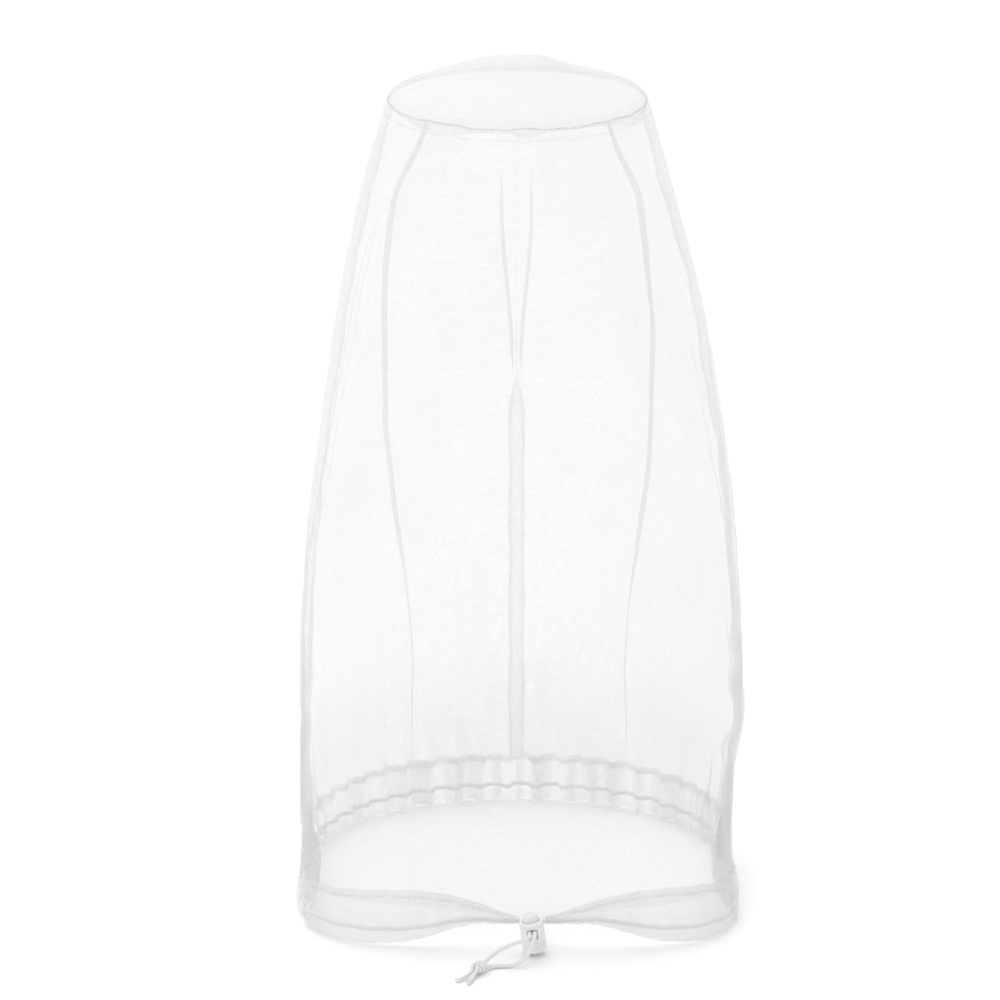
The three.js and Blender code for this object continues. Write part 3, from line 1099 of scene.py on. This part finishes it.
def side_seam(side, word):
    place = side_allowance(side)
    tape = strip("seam_" + word, place, 0, 1, 5, "side_seam_tape_" + word)
    shell = Shell()
    shell.tube(zigzag(place, 0.62, 1.03, 0.0003), overlock_radius)
    shell.tube([place(1.02, up_seam(k / 200)) for k in range(201)], 0.00013)
    running_stitches(shell, lambda d: on_net(side * quarter, panel_bottom + d, 0.0001),
                     0.002, seam_length - 0.002, 0.0026, 0.0019, 0.00012)
    seam_thread("seam_thread_" + word, shell, tape)


def back_seam():
    tape = strip("seam_back", back_allowance, -1, 1, 8, "back_seam_tape")
    shell = Shell()
    for side in (-1, 1):
        edge = [mix(panel_bottom, back_allowance_top, k / 110) for k in range(111)]
        shell.tube([back_allowance(side, height, 0.0001) for height in edge], 0.00014)
        rows = zigzag(lambda a, h, off: back_allowance(side * a, h, 0.0003), 0.55, 1.0, 0.0)
        shell.tube([p for p in rows if p.z < back_allowance_top], overlock_radius)
    seam_thread("seam_thread_back", shell, tape)


side_seam(1, "right")
side_seam(-1, "left")
back_seam()


# ---- Crown seam: a rolled edge bound in thread ----

def piping_line(angle, out=0.0, up=0.0):
    radius = crown_radius - net_half + out
    wave = 0.0004 * sin(9 * angle + 1) + 0.0003 * sin(23 * angle)
    return Vector((radius * sin(angle), -radius * cos(angle), crown_height + wave + up))


def puckers(angle):
    """Where the body is gathered into the crown, from 0 to 1."""
    return lobe(angle, -38, 17) + 0.7 * lobe(angle, 4, 6) + lobe(angle, 62, 15)


def piping_bulk(angle):
    front = (1 + cos(angle)) / 2
    return 0.00022 + 0.0001 * front + 0.0003 * puckers(angle)


def make_allowance(parent):
    """The edge of the body net inside the crown seam, crumpled where it is puckered."""
    columns = 360
    rows = 5

    def point(r, c):
        angle = step_angle(c, columns)
        down = (0.0012 + 0.0048 * puckers(angle)) * r / rows
        crumple = 0.0007 * sin(67 * angle + 3 * r) * r / rows
        return cloth_point(angle, sewn_top - down, crumple - 0.0013)
    shell = Shell()
    shell.sheet(rows, columns, point, lambda r, c: (c * crown_girth / columns, 0.0012 * r))
    shell.piece("crown_allowance", seam_netting, "veil", "seam_tape", parent=parent)


def make_piping():
    steps = 240
    path = [piping_line(step_angle(k, steps)) for k in range(steps + 1)]

    def radius(along, angle):
        ridges = 1 + 0.09 * sin(along / 0.0026 * 2 * pi)
        return piping_bulk(along / (crown_radius - net_half)) * ridges
    shell = Shell()
    shell.tube(path, radius, 10, closed=True, first_up=Vector((0, 0, 1)))
    ring = shell.piece("crown_seam", seam_netting, "veil", "seam_tape", ["crown_piping"])
    wraps = 110
    count = wraps * 8
    coil = []
    for k in range(count + 1):
        angle = step_angle(k, count)
        around = 2 * pi * (k % count) * wraps / count
        reach = piping_bulk(angle) * 1.12
        coil.append(piping_line(angle, reach * cos(around), reach * sin(around)))
    thread = Shell()
    thread.tube(coil, 0.00007, closed=True)
    seam_thread("crown_thread", thread, ring)
    stitches = Shell()
    running_stitches(stitches, lambda d: on_net(d / crown_radius, panel_top - 0.0035, 0.0002),
                     0.0, crown_girth, 0.0028, 0.0021, 0.0001)
    seam_thread("crown_stitches", stitches, ring)
    make_allowance(ring)


make_piping()


# ---- Hem casing: net folded double round the drawcord ----

# Out from the net's face, and height: up the outside, over the fold at the bottom, and up the
# inside again.
casing_section = [
    (0.0003, 0.0273), (0.0006, 0.0255), (0.0007, 0.0235), (0.0015, 0.0205), (0.002, 0.0165),
    (0.0022, 0.0125), (0.002, 0.0085), (0.0015, 0.005), (0.0009, 0.0022), (0.0003, 0.0007),
    (-0.0004, 0.0002), (-0.0011, 0.0007), (-0.0017, 0.0025), (-0.0023, 0.005), (-0.0028, 0.0085),
    (-0.003, 0.0125), (-0.0028, 0.0165), (-0.0023, 0.0205), (-0.0015, 0.0235), (-0.0014, 0.0255),
    (-0.0012, 0.0268),
]
casing_step = 0.0019
casing_fullness = 1.12  # its flat width, for each unit of its finished width
casing_turn_in = 1.06  # its flat height, for each unit of its section
stitch_height = 0.0237


def casing_point(angle, height, out):
    """The casing stands in two lobes at the front and rises between them to the mouth, where
    it is pinched together. Its fold has small waves."""
    lobes = lobe(angle - mouth_angle, -26, 19) + lobe(angle - mouth_angle, 26, 19)
    p = cloth_point(angle, height + 0.006 * lobes * smooth(0.01, casing_height, height), out)
    away = abs(turn(angle, mouth_angle)) * hem_radius
    p.z += 0.0065 * hump(away - 0.035, 0.021) * (1 - smooth(0, 0.02, height))
    p.z -= (p.z - mouth_height) * 0.62 * hump(away, 0.019)
    ruffle = 0.00025 * (1 + sin(gather_count * angle * 2 + 5 * uneven(angle, 0, 3.0, 8.8)))
    p.z += ruffle * (1 - smooth(0, 0.012, height)) * (1 - hump(turn(angle, mouth_angle), 0.12))
    return p


def mouth_flap(shell):
    """The casing's inner layer goes on behind the mouth that the cords come out of."""
    inner = [(out - 0.0002, height) for out, height in casing_section if out < -0.0011][1:]
    columns = 10
    angles = [mix(mouth_left, mouth_right, c / columns) for c in range(columns + 1)]
    shell.sheet(len(inner) - 1, columns, lambda r, c: casing_point(angles[c], inner[r][1], inner[r][0]),
                lambda r, c: (angles[c] * hem_radius, inner[r][1]))


def hem_casing(name, start, end, node, material):
    columns = round((end - start) * hem_radius / casing_step)
    angles = [mix(start, end, c / columns) for c in range(columns + 1)]
    along = distances(casing_section)
    shell = Shell()
    shell.grid([[casing_point(a, height, out) for a in angles] for out, height in casing_section],
               [[(a * hem_radius, distance) for a in angles] for distance in along])
    if start == mouth_right:
        mouth_flap(shell)
    casing = shell.piece(name, material, "veil", "hem_net", [node])
    thread = Shell()
    for out in (0.0009, -0.0017):
        running_stitches(thread, lambda d: casing_point(d / hem_radius, stitch_height, out),
                         start * hem_radius + 0.001, end * hem_radius - 0.002, 0.0029, 0.0022, 0.0002)
    stitches = thread.piece(name + "_stitches", sewing_thread, "veil", "hem_net", parent=casing)
    declare_sheet(casing, (end - start) * hem_radius * casing_fullness, along[-1] * casing_turn_in,
                  "gathered", ["drawcord_in_hem"], [stitches.name])


hem_casing("hem_front_right", mouth_right, quarter, "hem_casing_front_right", hem_netting)
hem_casing("hem_back_right", quarter, pi, "hem_casing_back_right", drawn_netting)
hem_casing("hem_back_left", -pi, -quarter, "hem_casing_back_left", drawn_netting)
hem_casing("hem_front_left", -quarter, mouth_left, "hem_casing_front_left", hem_netting)

# Cut sizes of the panels, laid flat.
panel_length = 0.44
front_width = 0.42
back_width = 0.2
crown_width = 0.154
declare_sheet(front, front_width, panel_length, "hung",
              ["crown_seam", "hem_front_left", "hem_front_right"])
declare_sheet(back_right, back_width, panel_length, "hung", ["crown_seam", "hem_back_right"])
declare_sheet(back_left, back_width, panel_length, "hung", ["crown_seam", "hem_back_left"])
declare_sheet(crown, crown_width, crown_width, "stretched", ["crown_seam"])


# ---- Drawcord: the stretch in the hem, the two free tails and their knot ----

def braid_radius(along, angle):
    """The strands stand a little proud where they cross."""
    turns = along / braid_turn * 2 * pi
    crossing = max(sin(turns + braid_strands * angle), sin(turns - braid_strands * angle))
    return cord_radius * (0.95 + 0.06 * crossing)


cord_inset = 0.0008  # of the held cord's ends from the mouth
cord_sag = 0.0045  # how far the cord lies below the middle of the loose casing


def held_cord():
    low = mouth_right + cord_inset / hem_radius
    high = mouth_left + 4 * quarter - cord_inset / hem_radius
    steps = 720
    path = []
    for k in range(steps + 1):
        angle = mix(low, high, k / steps)
        from_mouth = min(k, steps - k) / steps * (high - low) * hem_radius
        height = casing_height / 2 - cord_sag * smooth(0.01, 0.05, from_mouth)
        path.append(casing_point(angle, height, casing_offset))
    shell = Shell()
    shell.tube(path, braid_radius, 12)
    shell.piece("drawcord_in_hem", braided_cord, "veil", "cord", ["drawcord"])


held_cord()

# The frame's routes, from the middle of the lock's hole, in millimetres.
right_behind_lock = [(5.4, 12.6, 0), (3.2, 11.1, 0), (1.75, 8.9, 0)]
left_behind_lock = [(-5.4, 12.6, 0), (-3.2, 11.1, 0), (-1.75, 8.9, 0)]
straight_depths = [6, 2, -2, -6, -10, -12]
right_in_front = [
    (0.9, -15, -0.9), (-0.3, -17.8, -3.6), (-2.4, -20, -7), (-5.6, -21.4, -10.2),
    (-9.8, -22.2, -12.3), (-14.4, -22.2, -12.7), (-18.8, -22.6, -12.7), (-22.4, -24.2, -12.2),
    (-24.6, -26.9, -11.6),
]
left_in_front = [
    (-2.2, -14.8, 0), (-4.8, -16.6, -0.4), (-8.6, -17, -1.5), (-13, -16.8, -3.3),
    (-17.4, -16.8, -5.7), (-21.6, -17.8, -8.4), (-25, -20.2, -10.5), (-26.8, -23.2, -11.3),
    (-27.3, -25.9, -11.2),
]


def tail_route(side, behind_lock, in_front):
    def hem_point(inset):
        angle = mouth_angle + side * (mouth_half_angle + inset / hem_radius)
        return veil_point(angle, casing_height / 2, casing_offset)

    def from_hole(p):
        return hole_middle + Vector(p) / 1000
    beside = hole_middle + lock_across * (side * cord_spacing)
    straight = [beside + Vector((0, depth / 1000, 0)) for depth in straight_depths]
    return [hem_point(0.0007), hem_point(0), *map(from_hole, behind_lock), *straight,
            *map(from_hole, in_front)]


def cord_tail(name, route, node):
    path = spline(route, 10)
    shell = Shell()
    shell.tube(path, braid_radius, 16)
    return shell.piece(name, braided_cord, "veil", "cord", [node]), path


tail_right, path_right = cord_tail(
    "cord_tail_right", tail_route(1, right_behind_lock, right_in_front), "drawcord_tail_right")
tail_left, path_left = cord_tail(
    "cord_tail_left", tail_route(-1, left_behind_lock, left_in_front), "drawcord_tail_left")

knot_length = 0.011
knot_radius = 0.0032
knot_direction = Vector((-0.5, -0.87, 0)).normalized()
knot_across = Vector((-knot_direction.y, knot_direction.x, 0))
knot_middle = (path_right[-1] + path_left[-1]) / 2 + knot_direction * (knot_length / 2)
knot_middle.z = knot_radius + 0.0003


def knot_place(along, across, up):
    return knot_middle + knot_direction * along + knot_across * across + Vector((0, 0, up))


def make_knot():
    """One overhand knot in both cords: they wrap round themselves, and one turn lies across
    the others. The two cut ends come out in front, sealed and a little flared."""
    shell = Shell()
    strand = 0.00108
    out = knot_radius - strand
    for start, tail in ((0.0, path_left), (pi, path_right)):
        wrap = [tail[-6], tail[-3], tail[-1], tail[-1] + (tail[-1] - tail[-3]).normalized() * 0.0008]
        for k in range(9):
            share = k / 8
            angle = start + share * 2.35 * pi
            along = mix(-0.0034, 0.0034, share)
            reach = out * (0.75 + 0.3 * sin(pi * share))
            wrap.append(knot_place(along, reach * cos(angle), reach * sin(angle)))
        side = -1 if start else 1
        cut_end = [(0.0052, 0.0013, 0.0001), (0.0082, 0.0014, -0.0011), (0.0125, 0.0024, -0.0019),
                   (0.0178, 0.0036, -0.0021)]
        wrap += [knot_place(along, side * across, up) for along, across, up in cut_end]
        path = spline(wrap, 8)
        total = path_length(path)

        def radius(along, angle, total=total):
            end = smooth(total - 0.0022, total - 0.0004, along)
            return braid_radius(along, angle) * (0.92 + 0.16 * end)
        shell.tube(path, radius, 14)
    cross = [(0.0036, -0.0016, 0.0004), (0.0026, -0.0024, 0.0014), (0.0012, -0.0013, 0.003),
             (-0.0006, 0.0008, 0.0033), (-0.0022, 0.0023, 0.0018), (-0.0034, 0.0019, -0.0002)]
    shell.tube(spline([knot_place(*p) for p in cross], 10), braid_radius, 14)
    return shell.piece("knot", braided_cord, "veil", "cord", ["tail_knot"])


knot = make_knot()
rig.cord(tail_right, exit=path_right[0], length=path_length(path_right), diameter=2 * cord_radius,
        far_end="knot", stiffness="limp", lay="loose", path=path_right, with_pieces=[knot])
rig.cord(tail_left, exit=path_left[0], length=path_length(path_left), diameter=2 * cord_radius,
        far_end="knot", stiffness="limp", lay="loose", path=path_left)


# ---- Cord lock ----

lock_turn = lock_across, Vector((0, 1, 0)), lock_axis
hole_bottom = 0.0082
hole_height = 0.0056
clearance = 0.0003
hole_half = 2 * cord_radius + 0.00015 + clearance
hole_corner = 0.0012
bore_radius = 0.0045
bore_bottom = 0.0018
plunger_radius = 0.0042
plunger_bottom = 0.0076
plunger_top = 0.0211
button_travel = 0.003


def lock_place(x, y, z):
    return lock_base + lock_turn[0] * x + lock_turn[1] * y + lock_turn[2] * z


def turned(name, profile, sides, flute=None):
    """A turned shape in the lock's own place, as a plain object for cutting."""
    along = distances(profile)

    def point(i, k):
        radius, height = profile[i]
        angle = step_angle(k, sides)
        r = radius - (flute(angle, radius, height) if flute else 0.0)
        return Vector((r * cos(angle), r * sin(angle), height))
    shell = Shell()
    verts = shell.sheet(len(profile) - 1, sides, point,
                        lambda i, k: (step_angle(k, sides) * barrel_radius, along[i]))
    shell.cap(verts[0])
    shell.cap(verts[-1])
    return shell.solid(name)


def slot_outline(bottom, height, grow):
    """A rounded slot's outline, across and up."""
    outline = []
    middle = bottom + height / 2
    for corner in range(4):
        sx = 1 if corner in (0, 3) else -1
        sz = 1 if corner in (0, 1) else -1
        for k in range(7):
            angle = (corner + k / 6) * quarter
            x = sx * (hole_half - hole_corner) + (hole_corner + grow) * cos(angle)
            z = sz * (height / 2 - hole_corner) + (hole_corner + grow) * sin(angle)
            outline.append((x, middle + z))
    return outline


def slot_cutter(bottom, height, mouth):
    """A slot right through along Y, whose rims flare out softly at the distance mouth."""
    shell = Shell()
    rows = []
    for share in (-1.5, -1.04, -1.0, -0.97, -0.93, -0.87, 0.87, 0.93, 0.97, 1.0, 1.04, 1.5):
        away = (abs(share) - 0.87) / 0.17
        grow = 0.0005 * min(1.0, max(0.0, away)) ** 2 if away > 0 else 0.0
        ring = [Vector((x, share * mouth, z)) for x, z in slot_outline(bottom, height, grow)]
        rows.append([*ring, ring[0]])
    verts = shell.grid(rows, [[(0.0, 0.0)] * len(row) for row in rows])
    shell.cap(verts[0])
    shell.cap(verts[-1])
    return shell.solid("cutter")


def lock_piece(name, solid, cutter, material, body, slot, node):
    """Cuts the slot, and stands the result where the frame has the lock."""
    link(solid)
    link(cutter)
    cut = solid.modifiers.new("Slot", "BOOLEAN")
    cut.operation = "DIFFERENCE"
    cut.solver = "EXACT"
    cut.object = cutter
    result = solid.evaluated_get(bpy.context.evaluated_depsgraph_get())
    mesh = bpy.data.meshes.new_from_object(result)
    for vertex in mesh.vertices:
        vertex.co = lock_place(*vertex.co)
    for face in mesh.polygons:
        face.use_smooth = True
    bpy.data.objects.remove(solid)
    bpy.data.objects.remove(cutter)
    obj = link(bpy.data.objects.new(name, mesh))
    mesh.set_sharp_from_angle(angle=radians(38))
    mesh.materials.clear()
    mesh.materials.append(material)
    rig.ride(obj, body)
    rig.slot(obj, slot)
    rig.replaces(obj, node)


def rounded(corner_radius, corner_height, radius, quarter_from, steps=5):
    """Points round a corner of a profile, from one angle through a right angle."""
    return [
        (corner_radius + radius * cos(radians(quarter_from + 90 * k / steps)),
         corner_height + radius * sin(radians(quarter_from + 90 * k / steps)))
        for k in range(steps + 1)
    ]


def grip(angle, radius, height):
    """Shallow upright grooves in the lower part of the barrel."""
    if radius < barrel_radius - 0.0001:
        return 0.0
    band = smooth(0.0014, 0.0024, height) * (1 - smooth(0.0062, 0.0072, height))
    return 0.00032 * band * (0.5 - 0.5 * cos(26 * angle))


def make_barrel():
    low = rounded(barrel_radius - 0.0009, 0.0009, 0.0009, -90)
    side = [(barrel_radius, 0.0012 + 0.0006 * k) for k in range(11)]
    waist = [(barrel_radius, 0.0078), (barrel_radius, 0.0144)]
    ring = [(barrel_radius - 0.0001, 0.01445), (barrel_radius - 0.00035, 0.01465),
            (barrel_radius - 0.00035, 0.01485), (barrel_radius - 0.0001, 0.01505),
            (barrel_radius, 0.0151)]
    high = rounded(barrel_radius - 0.0008, barrel_height - 0.0008, 0.0008, 0)
    inner = [(bore_radius + 0.0004, barrel_height), (bore_radius + 0.0001, barrel_height - 0.0002),
             (bore_radius, barrel_height - 0.0005), (bore_radius, bore_bottom)]
    solid = turned("barrel", low + side + waist + ring + high + inner, 156, grip)
    cutter = slot_cutter(hole_bottom, hole_height, barrel_radius)
    lock_piece("lock_body", solid, cutter, barrel_plastic, "lock", "lock_plastic", "lock_barrel")


def make_plunger():
    slot_bottom = cord_height - cord_radius - clearance
    slot_height = 2 * (cord_radius + clearance) + button_travel
    low = rounded(plunger_radius - 0.0004, plunger_bottom + 0.0004, 0.0004, -90)
    side = [(plunger_radius, 0.0176), (plunger_radius - 0.00012, 0.0179), (plunger_radius, 0.0182)]
    high = rounded(plunger_radius - 0.0011, plunger_top - 0.0014, 0.0011, 0)
    top = [(0.0026, plunger_top - 0.0002), (0.0024, plunger_top - 0.00035),
           (0.0021, plunger_top - 0.00035), (0.0019, plunger_top - 0.00018),
           (0.0012, plunger_top - 0.00005), (0.0004, plunger_top)]
    solid = turned("plunger", low + side + high + top, 96)
    cutter = slot_cutter(slot_bottom, slot_height, plunger_radius)
    lock_piece("lock_button", solid, cutter, button_plastic, "button", "button_plastic",
               "lock_plunger")


def make_spring():
    """A short coil between the barrel's floor and the plunger, that flattens as it is pressed."""
    turns = 4
    wire = 0.00025
    spring_radius = 0.0032
    low = bore_bottom + wire + clearance
    high = plunger_bottom - wire - clearance
    path = []
    for k in range(turns * 20 + 1):
        angle = 2 * pi * k / 20
        height = mix(low, high, smooth(0, turns * 20, k) * 0.4 + 0.6 * k / (turns * 20))
        path.append(lock_place(spring_radius * cos(angle), spring_radius * sin(angle), height))
    shell = Shell()
    shell.tube(path, wire, 10)
    spring = shell.piece("lock_coil", spring_wire, "lock", "spring_steel", ["lock_spring"])
    reach = high - low + 2 * wire
    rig.squash(spring, "button_press", axis=lock_axis, anchor=lock_place(0, 0, low - wire),
              keep=(reach - button_travel) / reach)


make_barrel()
make_plunger()
make_spring()


# ---- Floor and light ----

def make_floor():
    shell = Shell()
    size = 7.0
    steps = 8
    spots = [-size + 2 * size * k / steps for k in range(steps + 1)]
    shell.sheet(steps, steps, lambda r, c: Vector((spots[c], spots[r], -0.0001)))
    floor = link(shell.finished("floor"))
    floor.data.materials.append(floor_material())
    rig.stage(floor)


def add_light(name, kind, place, aim, power):
    data = bpy.data.lights.new(name, kind)
    data.energy = power
    light = link(bpy.data.objects.new(name, data))
    light.location = place
    light.rotation_euler = (aim - place).to_track_quat("-Z", "Y").to_euler()
    return data


def make_light():
    world = bpy.data.worlds.new("studio")
    bpy.context.scene.world = world
    world.use_nodes = True
    background = world.node_tree.nodes["Background"]
    background.inputs["Color"].default_value = (1, 1, 1, 1)
    background.inputs["Strength"].default_value = 0.63
    # An even soft light over the whole floor, like a large overhead diffuser.
    overhead = add_light("overhead", "SUN", Vector((-0.08, 0.5, 1.0)), Vector((0, 0, 0)), 1.72)
    overhead.angle = radians(65)
    front_left = add_light("front_left", "AREA", Vector((-1.4, -3.3, 2.3)), Vector((0, 0, 0.2)), 24)
    front_left.shape = "DISK"
    front_left.size = 1.8
    bpy.context.scene.view_settings.view_transform = "Standard"


make_floor()
make_light()

visual_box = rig.bounds()


def plain(box):
    return [[float(x) for x in corner] for corner in box]


with open("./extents.json", "w") as out_file:
    json.dump({"cad": plain(cad_box), "visual": plain(visual_box)}, out_file)
